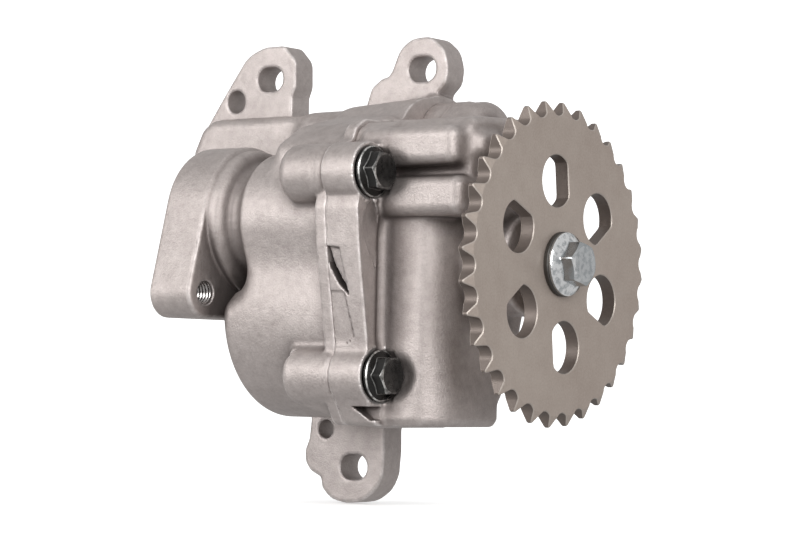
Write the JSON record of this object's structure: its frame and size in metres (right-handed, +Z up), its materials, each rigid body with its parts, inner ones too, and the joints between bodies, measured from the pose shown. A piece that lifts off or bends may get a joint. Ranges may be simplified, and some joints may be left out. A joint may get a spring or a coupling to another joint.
{
  "type": "engine oil pump",
  "caption": "Chain-driven external gear oil pump: two bolted castings with mounting ears, pierced sprocket, side inlet flange, outlet on the mounting face.",
  "frame": {"origin": "a bare point of the machined mounting face, 100 mm behind the sprocket's front face and level with the drive shaft", "axes": "+X along the drive shaft, out of the sprocket's front face; +Y out of the mounting face, towards the engine block; +Z up, from the lower ear to the upper ears"},
  "size_m": [0.1674, 0.0998, 0.1527],
  "materials": {
    "cast_aluminium": "as cast, with machined faces",
    "sprocket_steel": "sintered, steam treated",
    "sintered_steel": "sintered",
    "ground_steel": "ground",
    "spring_steel": "drawn",
    "bronze": "bored",
    "dark_steel": "phosphated",
    "zinc_steel": "bright zinc",
    "black_steel": "black oxide",
    "seal_metal": "turned",
    "seal_rubber": "moulded",
    "plug_steel": "pressed"
  },
  "bodies": {
    "housing": {"rear_housing": "cast_aluminium", "gear_housing": "cast_aluminium", "front_bush": "bronze", "rear_bush": "bronze", "idler_pin": "ground_steel", "housing_bolts": "black_steel", "dowel_sleeves": "spring_steel", "relief_plug": "zinc_steel", "relief_plug_seal": "seal_metal", "relief_spring": "spring_steel", "outlet_seal": "seal_rubber", "core_plug": "plug_steel"},
    "rotor": {"drive_shaft": "ground_steel", "drive_gear": "sintered_steel", "gear_key": "ground_steel", "shaft_snap_ring": "spring_steel", "sprocket": "sprocket_steel", "hub_washer": "dark_steel", "sprocket_bolt": "zinc_steel"},
    "idler": {"idler_gear": "sintered_steel", "idler_bush": "bronze"},
    "relief_valve": {"relief_piston": "ground_steel"}
  },
  "joints": [
    {"name": "drive_spin", "type": "hinge", "parent": "housing", "child": "rotor", "pos_m": [0, -0.024, 0], "axis": [1, 0, 0], "continuous": true},
    {"name": "idler_spin", "type": "hinge", "parent": "housing", "child": "idler", "pos_m": [0, -0.032, -0.02631], "axis": [1, 0, 0], "continuous": true},
    {"name": "relief_slide", "type": "slide", "parent": "housing", "child": "relief_valve", "axis": [1, 0, 0], "range_m": [0, 0.0085], "stiffness_N_per_m": 6500, "springref_m": -0.0086, "deforming": ["relief_spring"]}
  ],
  "couplings": [
    {"joint": "idler_spin", "follows": "drive_spin", "ratio": -1}
  ]
}
